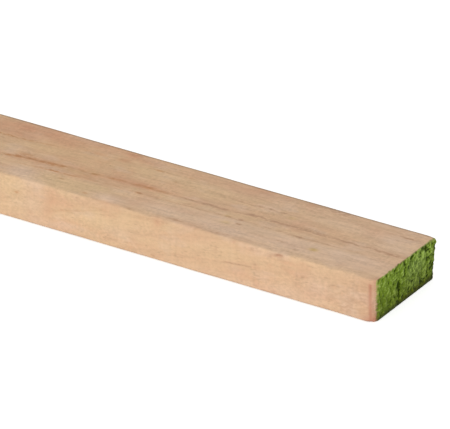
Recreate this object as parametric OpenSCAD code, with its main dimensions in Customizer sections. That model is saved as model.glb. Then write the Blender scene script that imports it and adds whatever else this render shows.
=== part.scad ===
// Rough-sawn hardwood board, one solid piece of stock with one end painted.
// It lies flat: X runs along the grain towards the painted end, Y across the
// wide faces away from the front edge, and Z up. The origin is the middle of
// the underside.

/* [Stock] */
// Length the board is sawn to, along X
board_length = 1800; // [600:300:6000]
// Width of the two wide faces, along Y
board_width = 100; // [50:1:250]
// Thickness between the wide faces, along Z
board_thickness = 38; // [19:1:75]

/* [Edges] */
// Radius of the four long edges, blunted by handling
arris_r = 2; // [0.5:0.5:5]
// Radius of the upright corner knocked off at the front of the painted end
worn_corner_r = 8; // [2:0.5:15]

/* [Painted end] */
// Thickness of the brushed coat over the sawn end
paint_coat = 0.5; // [0.2:0.1:1.5]

/* [Hidden] */
$fn = 64;
wood_colour = [0.83, 0.69, 0.56];
paint_colour = [0.38, 0.46, 0.17];
sawn_end_x = board_length / 2;
painted_face_x = sawn_end_x + paint_coat;
front_y = -board_width / 2;
// How far a cutting tool runs past the faces it cuts
overrun = 1;

// Cross-section of the stock, X across the board and Y up from its underside
module section() {
    translate([-board_width / 2 + arris_r, 0])
        square([board_width - 2 * arris_r, board_thickness]);
    translate([-board_width / 2, arris_r])
        square([board_width, board_thickness - 2 * arris_r]);
    for (side = [-1, 1], height = [arris_r, board_thickness - arris_r])
        translate([side * (board_width / 2 - arris_r), height])
            circle(r = arris_r);
}

// A run of the section along the grain, between two places on X
module stock(from_x, to_x) {
    translate([from_x, 0, 0])
        rotate([90, 0, 90])
            linear_extrude(to_x - from_x)
                section();
}

// The waste outside the worn upright corner: a square post less its round
module worn_corner() {
    translate([painted_face_x - worn_corner_r, front_y + worn_corner_r, -overrun])
        difference() {
            translate([0, -worn_corner_r - overrun, 0])
                cube([worn_corner_r + overrun, worn_corner_r + overrun,
                      board_thickness + 2 * overrun]);
            cylinder(r = worn_corner_r, h = board_thickness + 2 * overrun);
        }
}

// The whole board: sawn wood, and the coat that stands on its painted end
module board() {
    color(wood_colour)
        difference() {
            stock(-sawn_end_x, sawn_end_x);
            worn_corner();
        }
    color(paint_colour)
        difference() {
            stock(sawn_end_x, painted_face_x);
            worn_corner();
        }
}

board();
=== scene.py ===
"""Dresses the sawn board: a closed mesh with worn edges, a torn painted end and sawn hardwood faces."""

import math
import random

import bmesh
import bpy
import numpy as np
from mathutils import Matrix, Vector, noise


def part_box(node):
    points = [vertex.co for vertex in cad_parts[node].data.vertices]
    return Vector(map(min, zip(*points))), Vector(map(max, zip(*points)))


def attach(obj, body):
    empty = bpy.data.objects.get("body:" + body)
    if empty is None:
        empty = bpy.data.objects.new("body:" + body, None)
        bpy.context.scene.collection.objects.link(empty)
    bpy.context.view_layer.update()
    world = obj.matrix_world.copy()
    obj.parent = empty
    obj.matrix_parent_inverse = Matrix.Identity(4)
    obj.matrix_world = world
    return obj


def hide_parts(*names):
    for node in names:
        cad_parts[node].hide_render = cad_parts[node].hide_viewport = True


MM = 0.001

# The board's own places, in mm: back from the painted end, across from the front edge, up from the underside
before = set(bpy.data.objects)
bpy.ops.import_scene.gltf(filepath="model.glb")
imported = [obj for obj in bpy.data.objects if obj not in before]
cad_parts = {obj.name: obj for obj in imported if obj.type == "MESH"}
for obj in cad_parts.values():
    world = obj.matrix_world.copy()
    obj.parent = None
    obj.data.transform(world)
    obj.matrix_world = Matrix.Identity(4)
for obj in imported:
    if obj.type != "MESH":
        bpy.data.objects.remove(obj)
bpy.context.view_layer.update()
LOW, HIGH = (np.array(corner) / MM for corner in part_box("board"))
LENGTH, WIDTH, THICK = HIGH - LOW
SEEN_LENGTH = 430.0

# Mesh: squares on the ends, and slices along the grain that open out away from the ends
END_CELL = 1.0
FIRST_SLICE = 0.6
SEEN_SLICE = 2.3
WIDEST_SLICE = 26.0

# Worn edges: radius of the long edges, radius of the front arris at the top, and how far the upright corner
# at the front of the painted end is rounded at its top and at its bottom
ARRIS = 2.0
FRONT_ARRIS = 1.9
WORN_CORNER_TOP = 4.0
WORN_CORNER_BOTTOM = 9.0
# How far the top rolls down to the front arris: place along the board, drop
ROLLED_EDGE = [
    (0, 0.2), (10, 0.6), (17, 0.0), (34, 0.0), (43, 0.9), (52, 0.0), (92, 0.0), (100, 0.9), (108, 0.0),
    (200, 0.0), (214, 0.9), (232, 0.5), (238, 0.0), (284, 0.0), (295, 0.3), (320, 0.0), (330, 0.3),
    (400, 0.3),
]
# How far that roll reaches across the top and down the front edge
ROLL_WIDTH = 12.0
ROLL_HEIGHT = 14.0
# Where that arris is worn rounder, or left sharper: place along the board, half length, extra radius
WORN_SPOTS = [
    (22, 4, 1.8), (52, 4, 0.6), (64, 3, -0.8), (72, 4, 2.2), (82, 3, -1.2), (124, 3, 1.0), (136, 3, 1.8),
    (167, 14, 1.5), (201, 5, 0.7), (244, 4, 2.0), (256, 4, 2.9), (310, 4, 1.0), (322, 4, 0.8),
    (341, 5, 1.4),
]
# Between these two places along the board, listed wear gives way to a seeded wobble
PLACED_WEAR_FADES = (350, 450)

# Painted end: slant of the torn strands, how far back their relief is worked out, and where it has faded away
STRAND_TILT = math.radians(24)
RELIEF_KEPT = 8
RELIEF_FADED = 7
# How far the paint laps over the rim, and how ragged its edge is
PAINT_REACH = 0.3
PAINT_RAGGED = 0.4
# Larger pits and ridges: across, up, half width, half height, depth, which is below zero for a ridge
PITS_AND_RIDGES = [
    (39.5, 18.5, 2.4, 3.4, 1.7), (40.8, 12.5, 1.9, 5.0, 1.6), (33.5, 34.5, 1.8, 1.6, 1.5),
    (18.0, 35.5, 1.4, 1.3, 1.1), (50.5, 29.0, 1.5, 2.0, 1.0), (49.2, 24.0, 1.8, 2.0, 1.4),
    (52.0, 31.5, 1.6, 2.0, 0.8), (47.5, 34.6, 2.2, 1.5, 1.1), (62.0, 35.5, 3.0, 1.2, 1.1),
    (85.0, 34.0, 2.4, 1.8, 1.6), (79.0, 35.5, 3.0, 1.8, 1.0), (91.5, 24.0, 2.4, 1.4, 1.3),
    (86.0, 30.5, 2.0, 1.6, 0.9), (93.8, 18.0, 2.2, 2.2, 0.8), (88.0, 9.5, 3.0, 2.0, 0.8),
    (98.5, 5.5, 2.0, 2.5, 0.8), (73.5, 34.2, 1.8, 1.3, 0.7), (61.5, 17.6, 1.8, 1.2, 0.7),
    (39.5, 33.0, 1.4, 1.4, 0.7), (77.0, 7.0, 3.0, 2.0, 0.9), (10.0, 18.5, 1.6, 4.5, 0.8),
    (22.0, 25.5, 1.2, 2.6, 0.6), (97.5, 13.0, 2.0, 4.0, 0.9), (32.5, 15.0, 1.4, 4.0, -0.8),
    (79.8, 29.0, 1.6, 2.5, -0.9), (69.5, 34.5, 2.0, 1.4, -0.8), (18.0, 14.0, 1.3, 3.5, -0.7),
    (8.0, 33.2, 3.2, 2.4, -0.8), (21.0, 32.5, 1.8, 2.2, -0.6), (33.0, 30.2, 1.4, 1.6, -0.7),
    (26.5, 22.3, 3.2, 1.8, -0.7), (52.5, 21.0, 2.6, 1.6, -0.7), (46.5, 29.5, 1.4, 2.2, -0.7),
    (45.5, 20.5, 1.8, 2.0, -0.6), (94.5, 28.0, 2.0, 2.2, -0.7), (76.0, 26.5, 1.8, 2.8, -0.7),
    (17.5, 26.3, 1.6, 1.6, -0.6), (61.0, 24.0, 1.8, 1.5, -0.7), (87.5, 34.6, 1.6, 1.4, -0.8),
    (85.5, 23.2, 2.0, 1.4, 0.8), (35.5, 25.6, 1.4, 1.4, 0.7), (52.5, 17.3, 1.8, 1.4, 0.7),
    (58.5, 32.2, 1.8, 1.4, 0.7), (82.5, 13.2, 1.8, 1.5, -0.6), (90.5, 21.3, 1.6, 1.2, -0.6),
]

# Red stripes on the front edge beside the paint: place back from the end at the bottom and at the top,
# height, half width, strength
STRIPES = [(3.6, 5.3, 36.0, 1.9, 1.0), (0.8, 3.0, 20.0, 1.1, 0.8)]

# Grain runs at a small angle to the edges, and rises towards the painted end
GRAIN_SLOPE = 0.043
GRAIN_RISE = 0.17
# The tree's heart on the section: along, across from the board's middle, and up from the underside
HEART = (0.0, -70.0, -55.0)

# Marks on the two long faces that are seen. Beside is across on the top face, and up on the front edge.
# A streak: its points (back, beside, strength), and its half width
TOP_STREAKS = [
    ([(-5, 50, 0.5), (20, 50.2, 0.6), (40, 50, 0.35), (60, 49.8, 0.5), (95, 49.8, 0.8), (120, 49.8, 0.8),
      (143, 49.4, 0.6), (152, 47.0, 0.6), (163, 46.5, 0.65), (180, 46.2, 0.45), (205, 45.7, 0.4),
      (225, 45.5, 0.4), (246, 45.5, 0.45), (258, 44.8, 0.35), (270, 44, 0.6), (282, 43.6, 0.25),
      (290, 43, 0.6), (300, 42.6, 0.2), (314, 41, 0.2), (325, 39.3, 0.9), (334, 39, 0.45),
      (345, 38.6, 0.85), (352, 38, 0.3), (360, 36, 0.7), (372, 33, 0.5), (385, 30, 0.4),
      (410, 27, 0.0)], 1.8),
    ([(-5, 38, 0.1), (20, 38, 0.1), (60, 37, 0.3), (91, 35.5, 0.35), (130, 36.3, 0.3), (150, 36, 0.3),
      (168, 35.3, 0.3), (185, 34, 0.25), (205, 33.5, 0.2), (225, 33, 0.15), (241, 32.3, 0.3),
      (270, 32.5, 0.1), (285, 31, 0.15), (300, 29.8, 0.25), (310, 29, 0.7), (322, 28.6, 0.6),
      (335, 27, 0.25), (366, 24, 0.0)], 1.3),
    ([(-5, 84.5, 0.2), (5, 84.5, 0.4), (20, 84.3, 0.4), (45, 84.5, 0.1), (70, 85, 0.1), (140, 85, 0.0)], 1.1),
    ([(-5, 52, 0.1), (60, 53, 0.15), (104, 53, 0.1), (150, 52, 0.1), (190, 50, 0.0)], 4.5),
    ([(0, 9, 0.1), (60, 8, 0.1), (100, 7, 0.15), (150, 6.0, 0.25), (190, 5.5, 0.25), (225, 4, 0.0)], 1.5),
    ([(330, 73, 0.0), (345, 71, 0.25), (372, 67.5, 0.4), (380, 67, 0.3), (393, 67, 0.8),
      (430, 64, 0.0)], 1.5),
    ([(270, 80, 0.0), (283, 79, 0.12), (300, 78, 0.1), (308, 78.5, 0.2), (330, 78, 0.0)], 1.8),
    ([(225, 80, 0.0), (250, 79, 0.4), (262, 79, 0.0)], 1.2),
    ([(150, 80, 0.0), (160, 80.5, 0.3), (178, 81.5, 0.4), (195, 82, 0.0)], 1.4),
    ([(70, 66, 0.0), (110, 68, 0.2), (150, 67, 0.6), (190, 66, 0.0)], 1.6),
    ([(20, 22, 0.0), (60, 19, 0.15), (110, 19.5, 0.2), (150, 20, 0.1), (180, 19, 0.0)], 1.5),
]
FRONT_STREAKS = [
    ([(105, 20, 0.0), (118, 18.5, 0.45), (140, 16.5, 0.4), (165, 12.5, 0.2), (190, 10, 0.25),
      (210, 8, 0.0)], 0.7),
    ([(250, 31, 0.0), (262, 29, 0.1), (280, 24, 0.2), (300, 18, 0.15), (315, 14, 0.0)], 0.8),
    ([(205, 11, 0.0), (225, 9, 0.2), (250, 7, 0.0)], 0.8),
    ([(55, 24, 0.0), (64, 23.5, 0.2), (72, 22, 0.35), (80, 19, 0.0)], 0.7),
    ([(30, 24.5, 0.0), (38, 24, 0.4), (46, 22, 0.0)], 0.8),
    ([(80, 16, 0.0), (95, 15, 0.3), (105, 14, 0.0)], 0.7),
    ([(235, 34, 0.0), (262, 31, 0.15), (290, 26, 0.0)], 0.7),
]
# Small flecks and soft areas: back, beside, half length, half width, strength. The flecks are brown.
TOP_FLECKS = [
    (144, 28.5, 2.0, 1.4, 0.9), (100, 20.5, 2.5, 1.3, 0.5), (82, 13, 1.6, 1.6, 0.5), (277, 7, 2.2, 1.6, 0.5),
    (307, 19.5, 2.5, 1.3, 0.4), (226, 68, 1.8, 1.6, 0.3), (91, 35.4, 1.6, 1.1, 0.8),
    (241, 32.3, 2.2, 1.4, 0.35), (232, 2.5, 3.0, 1.5, 0.25), (205, 2.5, 4.0, 1.5, 0.3),
    (148, 3.5, 9.0, 1.8, 0.5), (98, 4.0, 4.0, 1.5, 0.3), (168, 35.3, 3.0, 1.1, 0.7),
    (17, 84.3, 4.0, 1.2, 0.5), (294, 34, 8, 5, 0.12), (147, 36.2, 3.0, 1.6, 0.7),
    (356, 40, 7, 6, 0.4), (158, 36.3, 2.5, 1.0, 0.5), (187, 34.3, 4.0, 1.0, 0.4), (190, 6, 5.0, 2.0, 0.4),
    (241, 47, 9, 3.0, 0.2), (62, 84, 2.0, 1.5, 0.3), (84, 94.5, 22, 5, 0.4), (22, 91, 20, 7, 0.2),
    (125, 93, 20, 5, 0.12), (322, 40, 22, 8, 0.18), (338, 38.6, 12, 2.4, 0.3), (89, 46, 14, 3, 0.25),
    (39, 64, 10, 3, 0.25), (220, 81, 5, 3, 0.2), (200, 52, 6, 3, 0.2), (118, 43, 42, 4.5, 0.13),
    (110, 92, 110, 12, 0.06),
]
FRONT_FLECKS = [
    (338, 25, 2.2, 0.9, 0.9), (148, 26, 0.9, 3.0, 0.5), (110, 13, 1.4, 5.0, 0.3), (228, 5, 2.0, 1.0, 0.5),
    (206, 4, 2.0, 1.4, 0.5), (14, 17, 18, 26, 0.22), (96, 34.5, 5, 2.5, 0.3), (72, 16, 5, 2.0, 0.25),
    (45, 2, 6, 2.5, 0.3), (28, 8, 8, 5, 0.2), (200, 35.5, 18, 2.0, 0.3), (115, 35.2, 8, 2.0, 0.25),
    (89.2, 36.2, 2.8, 1.5, 1.0), (88.6, 34.0, 1.5, 2.2, 0.8), (69, 22.8, 3.0, 0.9, 0.4),
    (111, 22, 1.3, 1.3, 0.4), (148.6, 23.5, 1.3, 1.3, 0.4), (119.7, 19.6, 1.4, 1.0, 0.3),
]
FRONT_RED = [
    (89.0, 36.0, 3.0, 1.5, 0.35), (109, 3.6, 2.2, 1.6, 0.3), (294.5, 20.5, 1.6, 0.9, 0.4),
    (132, 36.5, 1.5, 0.9, 0.5), (226, 12, 3.0, 2.5, 0.15), (45, 17, 2.0, 1.4, 0.2), (30, 20, 1.2, 3.0, 0.12),
    (92, 2.5, 2.0, 1.2, 0.25), (123, 5, 1.8, 1.2, 0.25), (200, 5, 2.4, 1.3, 0.2), (37.5, 23, 1.4, 1.2, 0.15),
]
TOP_PINK = [
    (380, 82, 42, 15, 0.9), (315, 93, 66, 6, 0.75), (335, 80, 10, 6, 0.3), (308, 78, 9, 3, 0.5),
    (283, 80, 6, 4, 0.6), (281, 92, 7, 4, 0.5), (262, 87, 10, 4, 0.6), (320, 40, 34, 8, 0.4),
    (297, 37, 14, 10, 0.3), (248, 46, 30, 6, 0.8), (155, 94, 12, 5, 0.8), (135, 94, 5, 4, 0.6),
    (112, 94, 5, 4, 0.5), (45, 80, 12, 9, 0.3), (312, 62, 24, 8, 0.05), (90, 57, 50, 6, 0.1),
    (330, 55, 60, 30, 0.1), (175, 88, 50, 8, 0.3), (303, 46, 14, 4, 0.45), (374, 73, 10, 5, 0.5),
    (303, 85, 8, 5, 0.4), (230, 60, 22, 9, 0.2), (20, 20, 14, 11, 0.15), (348, 38, 14, 7, 0.2),
]
FRONT_PINK = [
    (305, 28, 7, 11, 0.35), (308, 15, 6, 8, 0.25), (290, 26, 14, 5, 0.3), (252, 30, 4, 6, 0.2),
    (225, 13, 6, 5, 0.1), (250, 8, 10, 4, 0.2), (203, 34, 4, 5, 0.5), (120, 10, 20, 5, 0.3),
    (8, 20, 8, 20, 0.3), (120, 33, 16, 6, 0.3), (182, 33, 12, 5, 0.2), (100, 14, 9, 5, 0.2),
    (85, 33, 18, 4, 0.15), (222, 33, 9, 4, 0.15),
]
TOP_YELLOW = [
    (352, 62, 28, 9, 0.9), (300, 14, 42, 12, 0.9), (270, 22, 22, 8, 0.5), (215, 72, 40, 11, 0.4),
    (188, 64, 14, 9, 0.5), (155, 25, 6, 4, 0.5), (385, 84, 4, 9, 0.6),
    (130, 88, 12, 7, 0.3), (225, 40, 40, 4, 0.3), (298, 34, 14, 5, 0.4),
]
FRONT_YELLOW = [
    (340, 25, 14, 15, 0.8), (252, 17, 34, 10, 0.8), (130, 27, 16, 8, 0.5), (235, 33, 16, 5, 0.5),
    (203, 32, 16, 6, 0.6), (186, 35, 12, 3, 0.6), (108, 14, 8, 5, 0.4), (194, 14, 8, 5, 0.4),
]
TOP_GREY = [
    (342, 12, 15, 12, 1.2), (256, 9, 15, 8, 1.0), (205, 16, 30, 12, 0.8), (150, 14, 30, 13, 0.8),
    (90, 18, 40, 15, 0.8), (25, 22, 40, 18, 0.8), (22, 64, 24, 18, 0.6), (70, 74, 30, 9, 0.4),
    (238, 72, 10, 5, 0.25), (120, 30, 90, 5, 0.4), (284, 30, 14, 6, 0.15), (22, 80, 24, 9, 0.4),
    (108, 60, 16, 7, 0.25), (180, 43, 10, 12, 0.2), (110, 90, 110, 16, 0.3),
]
FRONT_GREY = [
    (52, 16, 14, 11, 0.5), (128, 12, 8, 4, 0.5), (84, 8, 20, 6, 0.4), (20, 12, 10, 8, 0.3),
    (322, 18, 14, 12, 0.4), (240, 14, 16, 6, 0.4), (310, 4, 38, 4, 0.3), (110, 2, 90, 5, 0.4),
]
# Paler places on the top, mostly a painted highlight where its worn front edge turns to the light, a few
# paler areas of wood, and yellow resin
TOP_PALE = [
    (256, 3.5, 4.0, 3.0, 1.0), (244, 2.0, 3.5, 2.2, 0.9), (71, 2.0, 4.0, 1.8, 0.6), (22, 2.0, 4.0, 1.6, 0.5),
    (136, 1.6, 3.0, 1.4, 0.5), (166, 1.6, 10.0, 1.4, 0.4), (277, 10, 2.5, 2.0, 0.5),
    (258, 10, 5.0, 5.0, 0.4), (183, 26, 8, 4, 0.25), (338, 69.5, 16, 4, 0.25),
    (277, 54, 8, 4, 0.2), (241, 20, 9, 6, 0.2), (102, 61, 6, 4, 0.2), (300, 70, 60, 26, 0.06),
]
TOP_RESIN = [
    (70, 22, 3.8, 2.8, 1.0), (154, 26, 4, 3, 0.4), (113, 63, 4, 3, 0.4), (159, 37, 2.5, 2, 0.5),
    (305, 38, 12, 4, 0.3), (293, 45, 8, 3, 0.25), (300, 70, 60, 26, 0.15),
]
# Places on the front edge with plainer saw marks, and with more open pores
FRONT_SAWN = [(190, 20, 14, 9, 1.0), (240, 18, 10, 8, 0.5), (150, 20, 12, 10, 0.4)]
FRONT_PORES = [
    (150, 26, 12, 7, 1.0), (110, 14, 7, 8, 1.0), (72, 19, 9, 6, 1.0), (40, 24, 10, 8, 0.6),
    (285, 22, 12, 7, 0.7), (230, 24, 14, 6, 0.5), (190, 9, 20, 4, 0.8), (335, 22, 14, 10, 0.5),
]
# How many streaks a seeded rule spreads over what the photograph doesn't show
UNSEEN_STREAKS = 60

# The layout for baking, in mm of the board's sides: sheet, gap, and how much larger the two ends are drawn
SHEET = 850.0
SHEET_GAP = 3.0
PAINTED_END_SCALE = 5.0
BARE_END_SCALE = 3.0

# The floor: half size and drop below the underside in metres, its grey, and its glow as the camera sees it
FLOOR_HALF_SIZE = 60.0
FLOOR_DROP = 0.0004
FLOOR_GREY = 0.8
FLOOR_GLOW = 0.56
# The light: strength of the surround on the board, then the lamp's strength, spread and side
SKY_LIGHT = 0.66
LAMP_ENERGY = 1.25
LAMP_SPREAD = math.radians(30)
LAMP_SIDE = (0.25, -0.92, 0.30)
# The camera, fitted to the board's edges in the photograph: lens and sensor in mm, place and reach in metres,
# and its angle around the board, its angle above the floor and its roll in degrees
CAMERA_LENS = 438.2
CAMERA_SENSOR = 36.0
CAMERA_PLACE = (2.7001, -3.5347, 1.9614)
CAMERA_REACH = 200.0
CAMERA_ANGLES = (29.11, 25.504, 2.57)


def display(red, green, blue):
    """A colour as a screen shows it, 0 to 255, as the linear colour that shaders use."""
    linear = []
    for level in (red, green, blue):
        share = level / 255
        linear.append(share / 12.92 if share <= 0.04045 else ((share + 0.055) / 1.055) ** 2.4)
    return (*linear, 1.0)


def stations():
    """Places of the slices along the board, from the painted end to the bare one."""
    places = [0.0]
    while places[-1] < LENGTH - 2 * FIRST_SLICE:
        here = places[-1]
        seen = FIRST_SLICE + 0.02 * here
        beyond = SEEN_SLICE + 0.06 * max(here - SEEN_LENGTH, 0)
        near_far_end = FIRST_SLICE + 0.15 * (LENGTH - here)
        step = min(seen, beyond, near_far_end, WIDEST_SLICE)
        places.append(min(here + step, LENGTH - FIRST_SLICE))
    places.append(LENGTH)
    return np.array(places)


def rank(place):
    """A number that puts places in order: by slice, then across, then up."""
    return place.x * 1e6 + place.y * 1e3 + place.z


def blank(places):
    """A closed box of quads, with each vertex at (slice number, mm across, mm up)."""
    bm = bmesh.new()
    across = round(WIDTH / END_CELL)
    up = round(THICK / END_CELL)
    bmesh.ops.create_grid(bm, x_segments=across, y_segments=up, size=0.5)
    for vert in bm.verts:
        vert.co = (0.0, (vert.co.x + 0.5) * WIDTH, (vert.co.y + 0.5) * THICK)
    last = len(places) - 1
    made = bmesh.ops.extrude_face_region(bm, geom=bm.faces[:])
    moved = [item for item in made["geom"] if isinstance(item, bmesh.types.BMVert)]
    bmesh.ops.translate(bm, verts=moved, vec=(last, 0.0, 0.0))
    long_edges = [edge for edge in bm.edges if abs(edge.verts[0].co.x - edge.verts[1].co.x) > 0.5]
    bmesh.ops.subdivide_edges(bm, edges=long_edges, cuts=last - 1, use_grid_fill=True)
    # The slices are counted against X, which turns the box inside out once it is in place
    bmesh.ops.reverse_faces(bm, faces=bm.faces[:])
    # The operators leave the order open, so it is set by place and is the same in each run
    bm.verts.sort(key=lambda vert: rank(vert.co))
    bm.edges.sort(key=lambda edge: rank((edge.verts[0].co + edge.verts[1].co) / 2))
    bm.faces.sort(key=lambda face: rank(face.calc_center_median()))
    return bm


def wander(places, period, seed):
    """A smooth wobble between about -1 and 1 along the board."""
    return np.array([noise.noise(Vector((place / period, seed, 0.5))) * 1.6 for place in places])


def round_off(a, b, radius):
    """Rounds a square corner. a and b are distances in from its two faces."""
    over_a = radius - a
    over_b = radius - b
    inside = (over_a > 0) & (over_b > 0)
    pull = np.maximum(over_a, over_b) / np.maximum(np.hypot(over_a, over_b), 1e-9)
    return np.where(inside, radius - over_a * pull, a), np.where(inside, radius - over_b * pull, b)


def smooth_step(value, low, high):
    """0 up to low, 1 from high, and a smooth change between."""
    share = np.clip((value - low) / (high - low), 0, 1)
    return share * share * (3 - 2 * share)


def rolled_edge(places):
    """Drop of the front arris below the top face at each slice."""
    seen, drops = zip(*ROLLED_EDGE)
    drop = np.interp(places, seen, drops)
    unseen = smooth_step(places, *PLACED_WEAR_FADES)
    drop = drop * (1 - unseen) + unseen * (0.3 + 0.3 * wander(places, 60, 7.5))
    return np.clip(drop + 0.15 * wander(places, 5, 9.5), 0, 2.0)


def front_radius(places):
    """Radius of the front arris at each slice."""
    radius = FRONT_ARRIS - 0.8 * rolled_edge(places) + 0.5 * wander(places, 6, 2.5)
    for place, half_length, extra in WORN_SPOTS:
        radius += extra * np.exp(-(((places - place) / half_length) ** 2))
    radius += smooth_step(places, *PLACED_WEAR_FADES) * 0.9 * wander(places, 24, 1.5)
    return np.clip(radius, 0.6, 4.8)


def section(places, slice_of, across, up):
    """The sawn section with its edges worn, as places across and up."""
    drop = rolled_edge(places)[slice_of]
    roll = np.clip(1 - across / ROLL_WIDTH, 0, 1) ** 2 * smooth_step(up, THICK - ROLL_HEIGHT, THICK)
    y, below = round_off(across, THICK - up, front_radius(places)[slice_of])
    z = THICK - below - drop * roll
    # The other three long edges: below at the front, above at the back, below at the back
    radii = [np.clip(ARRIS + 0.6 * wander(places, 40, seed), 1.0, 3.2) for seed in (3.5, 4.5, 5.5)]
    radii[1] += 1.6 * np.exp(-((places / 4) ** 2))
    radii[2] -= 0.8 * np.exp(-((places / 8) ** 2))
    y, z = round_off(y, z, radii[0][slice_of])
    from_back, below = round_off(WIDTH - y, THICK - z, radii[1][slice_of])
    from_back, z = round_off(from_back, THICK - below, radii[2][slice_of])
    return WIDTH - from_back, z


def torn_relief(across, up):
    """Height of the torn, painted end grain, in mm: slanting strands, lumps and pits."""
    beside = across * math.cos(STRAND_TILT) + up * math.sin(STRAND_TILT)
    along = up * math.cos(STRAND_TILT) - across * math.sin(STRAND_TILT)
    strands = noise.noise(Vector((beside / 2.6, along / 5.5, 3.0)))
    lumps = noise.noise(Vector((across / 6.0, up / 4.0, 11.0)))
    crumbs = noise.noise(Vector((across / 3.0, up / 2.0, 21.0)))
    height = 0.8 * strands + 0.6 * lumps + 0.8 * crumbs
    for y, z, wide, high, deep in PITS_AND_RIDGES:
        height -= deep * math.exp(-(((across - y) / wide) ** 2) - ((up - z) / high) ** 2)
    return height


def spots(listed, back, beside):
    """Soft spots on one face, 0 to 1."""
    result = np.zeros_like(back)
    for place, middle, half_length, half_width, strength in listed:
        away = ((back - place) / half_length) ** 2 + ((beside - middle) / half_width) ** 2
        result += strength * np.exp(-away)
    return np.clip(result, 0, 1)


def streaks(listed, places, slice_of, beside, seed):
    """Streaks along the grain on one face, 0 to 1, a little crooked and broken."""
    result = np.zeros_like(beside)
    for number, (points, half_width) in enumerate(listed):
        along, middles, strengths = np.array(points).T
        crooked = 0.7 * wander(places, 16, seed + number) + 0.3 * wander(places, 6, seed + number + 0.3)
        broken = np.clip(1 + 0.4 * wander(places, 9, seed + number + 0.6), 0.3, 1.5)
        middle = np.interp(places, along, middles) + crooked * half_width * 0.35
        strength = np.interp(places, along, strengths) * broken
        result += strength[slice_of] * np.exp(-(((beside - middle[slice_of]) / half_width) ** 2))
    return np.clip(result, 0, 1)


def unseen_streaks():
    """Streaks for the underside, the back edge, and the length of the top that isn't seen."""
    faces = {"top": [], "underside": [], "back": []}
    pick = random.Random(11)
    for _ in range(UNSEEN_STREAKS):
        face = pick.choice(["top", "underside", "back"])
        start = pick.uniform(SEEN_LENGTH, LENGTH - 80) if face == "top" else pick.uniform(-60, LENGTH - 40)
        length = pick.uniform(60, 260)
        middle = pick.uniform(6, THICK - 6) if face == "back" else pick.uniform(8, WIDTH - 8)
        strength = pick.uniform(0.3, 0.85)
        points = []
        for share, part in ((0.0, 0.0), (0.3, 1.0), (0.6, 0.7), (1.0, 0.0)):
            drift = GRAIN_SLOPE * length * share * (0.3 if face == "back" else 1.0)
            points.append((start + length * share, middle - drift, strength * part))
        faces[face].append((points, pick.uniform(1.0, 2.4)))
    return faces


def store(mesh, name, values):
    """Keeps one number for each vertex, for the material to read."""
    layer = mesh.attributes.new(name, "FLOAT", "POINT")
    layer.data.foreach_set("value", np.asarray(values, dtype=np.float32))


def store_marks(mesh, places, slice_of, across, up):
    """Streaks, flecks and tinted areas of the wood, with painted shade and painted highlight along the top's
    edges.
    """
    back = places[slice_of]
    arris = front_radius(places)[slice_of]
    faces = {
        "top": smooth_step(up, THICK - 1.5, THICK) * smooth_step(across, 0.3 * arris, 1.3 * arris),
        "front": 1 - smooth_step(across, 0, 1.5),
        "underside": 1 - smooth_step(up, 0, 3),
        "back": smooth_step(across, WIDTH - 3, WIDTH),
    }
    others = unseen_streaks()
    brown = faces["top"] * streaks(TOP_STREAKS + others["top"], places, slice_of, across, 0.37)
    brown += faces["top"] * spots(TOP_FLECKS, back, across)
    brown += faces["front"] * streaks(FRONT_STREAKS, places, slice_of, up, 30.37)
    brown += faces["front"] * spots(FRONT_FLECKS, back, up)
    brown += faces["underside"] * streaks(others["underside"], places, slice_of, across, 60.37)
    brown += faces["back"] * streaks(others["back"], places, slice_of, up, 90.37)
    store(mesh, "brown", np.clip(brown, 0, 1))
    for name, on_top, on_front in (
        ("pink", TOP_PINK, FRONT_PINK), ("yellow", TOP_YELLOW, FRONT_YELLOW), ("grey", TOP_GREY, FRONT_GREY),
    ):
        tint = faces["top"] * spots(on_top, back, across) + faces["front"] * spots(on_front, back, up)
        store(mesh, name, tint)
    store(mesh, "resin", faces["top"] * spots(TOP_RESIN, back, across))
    store(mesh, "pored", faces["front"] * spots(FRONT_PORES, back, up))
    store(mesh, "sawn", 1 + 1.3 * faces["front"] * spots(FRONT_SAWN, back, up))
    store(mesh, "wide_face", np.maximum(faces["top"], faces["underside"]))
    # Painted shade along the back arris of the top, where it turns away from the light, and painted highlight
    # at the pale places on the worn front edge
    back_arris_painted_shade = smooth_step(across, WIDTH - 4.5, WIDTH - 2) * smooth_step(up, THICK - 3, THICK - 0.5)
    store(mesh, "edge_shade", 0.22 * faces["top"] * spots(TOP_PALE, back, across) - 0.35 * back_arris_painted_shade)


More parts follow.
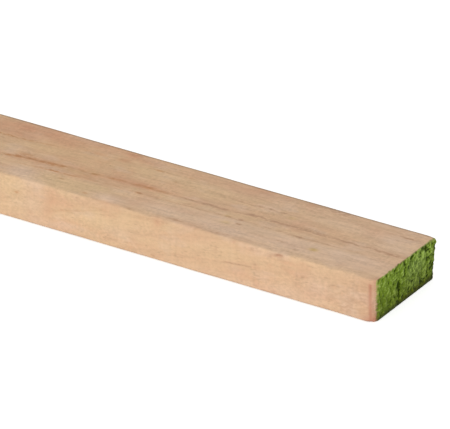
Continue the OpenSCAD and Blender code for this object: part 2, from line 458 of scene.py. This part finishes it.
def store_end(mesh, back, set_back, across, up, relief):
    """The paint, its torn ground, the red stain beside it, and the bare far end."""
    on_front = 1 - smooth_step(across, 5, 10)
    from_middle = np.abs(up / THICK - 0.5) * 2
    stripe = np.zeros_like(back)
    for at_bottom, at_top, height, half_width, strength in STRIPES:
        middle = at_bottom + (at_top - at_bottom) * up / height
        line = strength * np.exp(-(((set_back - middle) / half_width) ** 2))
        stripe = np.maximum(stripe, line * (1 - smooth_step(up, height - 3, height)))
    stripe *= 0.65 + 0.35 * from_middle
    foot = 1.2 * np.exp(-((set_back / 8) ** 2) - (up / 7) ** 2)
    blush = 0.38 * np.exp(-((set_back / 4.5) ** 2)) + 0.05 * np.exp(-((set_back / 12) ** 2))
    stain = np.maximum(np.maximum(stripe, foot), blush) + spots(FRONT_RED, back, up)
    store(mesh, "stain", on_front * np.clip(stain, 0, 1))
    # Painted shade on the curled back corner of the end, taken off the relief that the paint colour reads
    shaded_corner = 0.5 * np.exp(-(((across - WIDTH) / 2.5) ** 2) - ((up - 34) / 6) ** 2)
    on_end = relief * smooth_step(across, -2, 4) + 0.2 * (1 - smooth_step(across, 1, 6))
    store(mesh, "relief", on_end - shaded_corner)
    by_front = 1 - smooth_step(across, 5, 11)
    back_corner = np.exp(-(((across - WIDTH) / 8) ** 2) - ((up - THICK) / 5) ** 2)
    down_end = np.minimum(THICK - up, 3) * (1 - smooth_step(set_back, 0, 0.6)) * (1 - by_front)
    store(mesh, "paint", PAINT_REACH + 0.4 * down_end + 0.3 * by_front - set_back)
    store(mesh, "thinning", 0.9 - 0.14 * by_front + 1.2 * back_corner)
    store(mesh, "bare_end", smooth_step(back, LENGTH - 1.2, LENGTH - 0.2))


def lay_out(mesh, places, slice_of, across, up):
    """The map for baking: the sides unrolled in three lengths, and the ends, drawn larger, beside them."""
    corner = np.empty(len(mesh.loops), dtype=np.int32)
    mesh.loops.foreach_get("vertex_index", corner)
    number, y, z = (values[corner].reshape(-1, 4) for values in (slice_of, across, up))
    girth = 2 * (WIDTH + THICK)
    around = np.where((y == 0).all(1)[:, None], z, 0.0)
    around = np.where((z == THICK).all(1)[:, None], THICK + y, around)
    around = np.where((y == WIDTH).all(1)[:, None], 2 * THICK + WIDTH - z, around)
    around = np.where((z == 0).all(1)[:, None], girth - y, around)
    cuts = np.array([np.abs(places - LENGTH * share).argmin() for share in (0, 1 / 3, 2 / 3)])
    part = np.searchsorted(cuts, number.min(1), side="right") - 1
    u = places[number] - places[cuts[part]][:, None] + SHEET_GAP
    v = around + (part * (girth + SHEET_GAP) + SHEET_GAP)[:, None]
    beside_sides = LENGTH / 3 + 6 * SHEET_GAP
    above_painted = WIDTH * PAINTED_END_SCALE + 2 * SHEET_GAP
    last = len(places) - 1
    for at, scale, start in ((0, PAINTED_END_SCALE, SHEET_GAP), (last, BARE_END_SCALE, above_painted)):
        end = (number == at).all(1)[:, None]
        u = np.where(end, beside_sides + z * scale, u)
        v = np.where(end, start + y * scale, v)
    layer = mesh.uv_layers.new(name="OFBake")
    layer.uv.foreach_set("vector", (np.stack([u, v], 2) / SHEET).astype(np.float32).ravel())


def sawn_board():
    """The whole board, one closed mesh."""
    places = stations()
    bm = blank(places)
    mesh = bpy.data.meshes.new("sawn_board")
    bm.normal_update()
    bm.to_mesh(mesh)
    bm.free()

    flat = np.empty(len(mesh.vertices) * 3)
    mesh.vertices.foreach_get("co", flat)
    slice_of, across, up = flat.reshape(-1, 3).T
    slice_of = np.rint(slice_of).astype(int)
    across = np.rint(across / END_CELL) * END_CELL
    up = np.rint(up / END_CELL) * END_CELL
    back = places[slice_of]

    y, z = section(places, slice_of, across, up)
    worn = WORN_CORNER_BOTTOM + (WORN_CORNER_TOP - WORN_CORNER_BOTTOM) * up / THICK
    set_back, y = round_off(back, y, worn)

    near_end = back < RELIEF_KEPT
    relief = np.zeros_like(back)
    relief[near_end] = [torn_relief(a, u) for a, u in zip(across[near_end], up[near_end])]
    even_edges = (0.15 + 0.85 * smooth_step(up, 0, 5)) * (0.1 + 0.9 * smooth_step(across, 1, 8))
    even_edges *= 0.65 + 0.35 * smooth_step(WIDTH - across, 0, 6)
    fade = np.clip(1 - back / RELIEF_FADED, 0, 1) ** 2
    curl = 0.8 * np.exp(-(((across - WIDTH) / 4) ** 2) - ((up - 32) / 5) ** 2)
    x = HIGH[0] - set_back + (relief * even_edges + curl - 0.3) * fade
    at = np.stack([x, LOW[1] + y, LOW[2] + z], 1) * MM
    mesh.vertices.foreach_set("co", at.ravel())

    store_marks(mesh, places, slice_of, across, up)
    store_end(mesh, back, set_back, across, up, relief)
    lay_out(mesh, places, slice_of, across, up)
    mesh.update()
    for polygon in mesh.polygons:
        polygon.use_smooth = True
    mesh.set_sharp_from_angle(angle=math.radians(50))
    board = bpy.data.objects.new("sawn_board", mesh)
    bpy.context.scene.collection.objects.link(board)
    return board


def add(tree, kind, inputs=None, **settings):
    """Adds a node, sets it up, and joins or fills its inputs."""
    made = tree.nodes.new(kind)
    for name, value in settings.items():
        setattr(made, name, value)
    for name, value in (inputs or {}).items():
        if isinstance(value, bpy.types.NodeSocket):
            tree.links.new(value, made.inputs[name])
        else:
            made.inputs[name].default_value = value
    return made


def maths(tree, operation, first, second):
    """One step of arithmetic on two values."""
    return add(tree, "ShaderNodeMath", {0: first, 1: second}, operation=operation).outputs[0]


def total(tree, *values):
    """Adds up several values."""
    result = values[0]
    for value in values[1:]:
        result = maths(tree, "ADD", result, value)
    return result


def ramp(tree, value, low, high, start=0.0, stop=1.0):
    """Smoothly takes value from start at low to stop at high."""
    inputs = {"Value": value, "From Min": low, "From Max": high, "To Min": start, "To Max": stop}
    return add(tree, "ShaderNodeMapRange", inputs, interpolation_type="SMOOTHSTEP").outputs[0]


def mix(tree, share, first, second, blend="MIX"):
    """Mixes two colours."""
    made = add(tree, "ShaderNodeMix", {0: share, 6: first, 7: second}, data_type="RGBA", blend_type=blend)
    return made.outputs[2]


def kept(tree, name, strength=1.0):
    """A number that the mesh keeps for each vertex, times a strength."""
    value = add(tree, "ShaderNodeAttribute", attribute_name=name).outputs["Fac"]
    return maths(tree, "MULTIPLY", value, strength)


def stretched(tree, place, period, detail, seed):
    """Noise with a period in mm for each direction."""
    scale = tuple(1 / length for length in period)
    start = (seed, seed * 2, seed * 3)
    vector = add(tree, "ShaderNodeMapping", {"Vector": place, "Scale": scale, "Location": start})
    inputs = {"Vector": vector.outputs[0], "Scale": 1.0, "Detail": detail, "Roughness": 0.55}
    return add(tree, "ShaderNodeTexNoise", inputs).outputs["Fac"]


def growth_rings(tree, plain):
    """Shade of the bare end grain: uneven rings around a heart that lies outside the board."""
    waver = stretched(tree, plain, (40, 18, 18), 2, 61.0)
    flat = add(tree, "ShaderNodeVectorMath", {0: plain, 1: (0.0, 1.0, 1.0)}, operation="MULTIPLY").outputs[0]
    from_heart = add(tree, "ShaderNodeVectorMath", {0: flat, 1: HEART}, operation="DISTANCE").outputs["Value"]
    out = total(tree, from_heart, maths(tree, "MULTIPLY", waver, 9.0))
    ring = add(tree, "ShaderNodeTexNoise", {"W": out, "Scale": 0.45, "Detail": 2.0}, noise_dimensions="1D")
    ring_shade = ramp(tree, ring.outputs[0], 0.3, 0.7, 0.68, 0.84)
    pores = stretched(tree, plain, (1.0, 0.9, 0.9), 1, 65.0)
    return total(tree, ring_shade, ramp(tree, pores, 0.6, 0.75, 0.0, -0.12))


def wood_colour(tree, plain, grain, textures):
    """Sawn hardwood: tan, with yellow, pink, grey and brown areas, fibres, pores and saw marks."""
    tan, deep_tan = display(224, 188, 151), display(220, 182, 147)
    yellow, pink, grey = display(223, 191, 150), display(214, 163, 131), display(227, 196, 170)
    rust, dull_brown, red = display(194, 143, 104), display(196, 157, 128), display(186, 121, 99)
    resin = display(209, 176, 120)
    along = add(tree, "ShaderNodeSeparateXYZ", {0: plain}).outputs["X"]
    wide_face = kept(tree, "wide_face")
    bands = stretched(tree, grain, (320, 13, 13), 3, 1.0)
    patches = stretched(tree, plain, (26, 20, 15), 2, 5.0)
    tints = stretched(tree, plain, (30, 18, 14), 2, 41.0)
    lines = stretched(tree, grain, (120, 5.0, 5.0), 3, 9.0)
    calm = stretched(tree, plain, (50, 28, 20), 2, 51.0)
    rough_places = maths(
        tree, "MULTIPLY", ramp(tree, calm, 0.4, 0.6, 0.5, 1.0), ramp(tree, wide_face, 0.0, 1.0, 0.95, 1.0)
    )

    colour = mix(tree, ramp(tree, bands, 0.38, 0.62), tan, deep_tan)
    further_back = ramp(tree, along, 720, 630, 0.3, 1.0)
    yellow_share = maths(tree, "MULTIPLY", ramp(tree, patches, 0.50, 0.70, 0.0, 0.5), further_back)
    colour = mix(tree, yellow_share, colour, yellow)
    colour = mix(tree, ramp(tree, patches, 0.48, 0.30, 0.0, 0.3), colour, pink)
    colour = mix(tree, ramp(tree, tints, 0.50, 0.70, 0.0, 0.5), colour, grey)
    colour = mix(tree, kept(tree, "yellow", 0.8), colour, yellow)
    colour = mix(tree, kept(tree, "grey", 0.8), colour, grey)
    blotchy = ramp(tree, tints, 0.62, 0.38, 0.65, 1.15)
    colour = mix(tree, maths(tree, "MULTIPLY", kept(tree, "pink"), blotchy), colour, pink)
    brown = mix(tree, ramp(tree, along, 720, 660), dull_brown, rust)
    ragged = ramp(tree, textures["ragged"], 0.33, 0.65, 0.3, 2.1)
    colour = mix(tree, maths(tree, "MULTIPLY", kept(tree, "brown"), ragged), colour, brown)
    colour = mix(tree, kept(tree, "resin"), colour, resin)
    colour = mix(tree, kept(tree, "stain", 0.8), colour, red)

    along_grain = total(
        tree,
        ramp(tree, lines, 0.30, 0.68, -0.07, 0.04),
        ramp(tree, textures["fibres"], 0.3, 0.7, -0.035, 0.035),
    )
    shade = total(
        tree,
        1.0,
        maths(tree, "MULTIPLY", along_grain, ramp(tree, wide_face, 0.0, 1.0, 0.5, 1.0)),
        ramp(tree, total(tree, textures["flecks"], kept(tree, "pored", 0.09)), 0.62, 0.76, 0.0, -0.14),
        maths(tree, "MULTIPLY", ramp(tree, textures["speckle"], 0.3, 0.7, -0.07, 0.07), rough_places),
        maths(tree, "MULTIPLY", ramp(tree, textures["saw"], 0.3, 0.7, -0.015, 0.015), kept(tree, "sawn")),
        # Painted shade along the back arris and painted highlight on the worn front edge
        kept(tree, "edge_shade"),
    )
    colour = mix(tree, 1.0, colour, shade, "MULTIPLY")

    end_grain = mix(tree, 1.0, colour, growth_rings(tree, plain), "MULTIPLY")
    return mix(tree, kept(tree, "bare_end"), colour, end_grain)


def paint_colour(tree, plain, textures):
    """Green end paint, with painted highlight on the raised strands and painted shade in the pits, along the
    bottom and at the back.
    """
    painted_rim_shadow, dark, green = display(34, 40, 3), display(55, 73, 2), display(120, 146, 42)
    dull, pale = display(127, 149, 72), display(165, 191, 91)
    olive_shade = (0.37, 0.32, 0.02, 1.0)
    at = add(tree, "ShaderNodeSeparateXYZ", {0: plain}).outputs
    blotch = stretched(tree, plain, (30, 14, 10), 3, 25.0)
    relief = total(tree, kept(tree, "relief"), ramp(tree, textures["crumbs"], 0.3, 0.7, -0.45, 0.45))
    relief = maths(tree, "MULTIPLY", relief, ramp(tree, at["Y"], -35.0, 25.0, 0.8, 1.3))
    washed = maths(tree, "MULTIPLY", ramp(tree, at["Y"], 0.0, 10.0), ramp(tree, at["Y"], 40.0, 28.0))
    washed = maths(tree, "MULTIPLY", washed, ramp(tree, blotch, 0.36, 0.56, 0.2, 0.8))
    colour = mix(tree, washed, green, dull)
    # Painted shade in the pits and painted highlight on the raised strands, read from the relief
    colour = mix(tree, ramp(tree, relief, 0.0, -0.95), colour, dark)
    colour = mix(tree, ramp(tree, relief, 0.05, 0.75), colour, pale)
    # Painted shade: darker towards the bottom of the end, most towards the back, and along its back edge
    # below the rim
    towards_back = ramp(tree, at["Y"], -40.0, 20.0, 0.25, 0.65)
    foot = maths(tree, "MULTIPLY", ramp(tree, at["Z"], 8.0, 2.0), towards_back)
    low = total(tree, ramp(tree, at["Z"], 32.0, 8.0, 0.0, 0.5), foot)
    below_rim = ramp(tree, at["Z"], 37.0, 26.0, 0.5, 1.0)
    back_edge_painted_shade = maths(tree, "MULTIPLY", ramp(tree, at["Y"], 42.0, 50.0, 0.0, 0.5), below_rim)
    shaded = mix(tree, 1.0, colour, olive_shade, "MULTIPLY")
    colour = mix(tree, maths(tree, "MAXIMUM", low, back_edge_painted_shade), colour, shaded)
    # Painted shadow along the bottom rim of the end
    return mix(tree, ramp(tree, at["Z"], 5.5, 1.0, 0.0, 0.6), colour, painted_rim_shadow)


def board_material():
    """Rough-sawn hardwood, with green paint where the mesh says the end is painted."""
    material = bpy.data.materials.new("sawn_hardwood")
    material.use_nodes = True
    tree = material.node_tree
    shader = tree.nodes["Principled BSDF"]
    shader.inputs["Specular IOR Level"].default_value = 0.05
    here = add(tree, "ShaderNodeTexCoord").outputs["Object"]
    in_mm = (1000, 1000, 1000)
    plain = add(tree, "ShaderNodeMapping", {"Vector": here, "Scale": in_mm}).outputs[0]
    turn = (0, math.atan(GRAIN_RISE), -math.atan(GRAIN_SLOPE))
    grain = add(tree, "ShaderNodeMapping", {"Vector": here, "Scale": in_mm, "Rotation": turn}).outputs[0]
    textures = {
        "fibres": stretched(tree, grain, (16, 2.0, 2.0), 3, 13.0),
        "flecks": stretched(tree, grain, (7, 1.4, 1.4), 2, 17.0),
        "speckle": stretched(tree, plain, (2.8, 3.4, 2.0), 4, 33.0),
        "ragged": stretched(tree, grain, (5.5, 2.2, 2.2), 2, 37.0),
        "saw": stretched(tree, plain, (3.4, 60, 60), 2, 21.0),
        "crumbs": stretched(tree, plain, (1.2, 1.9, 1.5), 3, 29.0),
    }
    wood = wood_colour(tree, plain, grain, textures)
    paint = paint_colour(tree, plain, textures)
    uneven = ramp(tree, textures["crumbs"], 0.3, 0.7, -PAINT_RAGGED, PAINT_RAGGED)
    edge = total(tree, kept(tree, "paint"), uneven)
    painted = ramp(tree, maths(tree, "DIVIDE", edge, kept(tree, "thinning")), -1.0, 1.0)
    tree.links.new(mix(tree, painted, wood, paint), shader.inputs["Base Color"])
    tree.links.new(ramp(tree, painted, 0.0, 1.0, 0.82, 0.6), shader.inputs["Roughness"])

    rough = total(
        tree,
        maths(tree, "MULTIPLY", textures["fibres"], 0.6),
        maths(tree, "MULTIPLY", textures["saw"], 0.4),
        ramp(tree, textures["flecks"], 0.62, 0.76, 0.0, -0.4),
    )
    lumpy = maths(tree, "MULTIPLY", textures["crumbs"], 1.6)
    surface = add(tree, "ShaderNodeMix", {0: painted, 2: rough, 3: lumpy}, data_type="FLOAT").outputs[0]
    bump = add(tree, "ShaderNodeBump", {"Height": surface, "Strength": 0.6, "Distance": 0.0005})
    tree.links.new(bump.outputs[0], shader.inputs["Normal"])
    return material


def seen_rays(tree):
    """1 for the camera's own rays and what gloss or glass would show it, 0 for light on the board."""
    paths = add(tree, "ShaderNodeLightPath").outputs
    shown = maths(tree, "MAXIMUM", paths["Is Glossy Ray"], paths["Is Transmission Ray"])
    return maths(tree, "MAXIMUM", paths["Is Camera Ray"], shown)


def floor_and_light():
    """A pale floor, a white surround, and soft light that falls more on the front edge than on the top."""
    mesh = bpy.data.meshes.new("floor")
    bm = bmesh.new()
    bmesh.ops.create_grid(bm, x_segments=1, y_segments=1, size=FLOOR_HALF_SIZE)
    bm.to_mesh(mesh)
    bm.free()
    floor = bpy.data.objects.new("floor", mesh)
    floor.location.z = -FLOOR_DROP
    bpy.context.scene.collection.objects.link(floor)

    material = bpy.data.materials.new("pale_floor")
    material.use_nodes = True
    tree = material.node_tree
    tree.nodes.clear()
    diffuse = add(tree, "ShaderNodeBsdfDiffuse", {"Color": (FLOOR_GREY, FLOOR_GREY, FLOOR_GREY, 1.0)})
    glow = maths(tree, "MULTIPLY", seen_rays(tree), FLOOR_GLOW)
    white = add(tree, "ShaderNodeEmission", {"Color": (1.0, 1.0, 1.0, 1.0), "Strength": glow})
    both = add(tree, "ShaderNodeAddShader", {0: diffuse.outputs[0], 1: white.outputs[0]})
    output = add(tree, "ShaderNodeOutputMaterial")
    tree.links.new(both.outputs[0], output.inputs["Surface"])
    mesh.materials.append(material)

    world = bpy.data.worlds.new("white_surround")
    bpy.context.scene.world = world
    world.use_nodes = True
    tree = world.node_tree
    tree.nodes.clear()
    strength = ramp(tree, seen_rays(tree), 0.0, 1.0, SKY_LIGHT, 1.0)
    sky = add(tree, "ShaderNodeBackground", {"Color": (1.0, 1.0, 1.0, 1.0), "Strength": strength})
    output = add(tree, "ShaderNodeOutputWorld")
    tree.links.new(sky.outputs[0], output.inputs["Surface"])

    lamp = bpy.data.lights.new("soft_key", "SUN")
    lamp.energy = LAMP_ENERGY
    lamp.angle = LAMP_SPREAD
    key = bpy.data.objects.new("soft_key", lamp)
    key.rotation_euler = Vector(LAMP_SIDE).to_track_quat("Z", "Y").to_euler()
    bpy.context.scene.collection.objects.link(key)


def photo_camera():
    """The photograph's view: a long lens, a little out of level."""
    data = bpy.data.cameras.new("photo_camera")
    data.lens = CAMERA_LENS
    data.sensor_width = CAMERA_SENSOR
    data.sensor_fit = "HORIZONTAL"
    data.clip_end = CAMERA_REACH
    camera = bpy.data.objects.new("photo_camera", data)
    around, above, roll = (math.radians(angle) for angle in CAMERA_ANGLES)
    turn = Matrix.Rotation(around, 4, "Z") @ Matrix.Rotation(math.pi / 2 - above, 4, "X")
    camera.matrix_world = Matrix.Translation(CAMERA_PLACE) @ turn @ Matrix.Rotation(roll, 4, "Z")
    bpy.context.scene.collection.objects.link(camera)
    bpy.context.scene.camera = camera


def main():
    """Puts the board in the CAD's place, with its floor, light and camera."""
    board = sawn_board()
    board.data.materials.append(board_material())
    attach(board, "root")
    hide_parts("board")
    floor_and_light()
    photo_camera()
    bpy.context.scene.view_settings.view_transform = "Standard"


main()
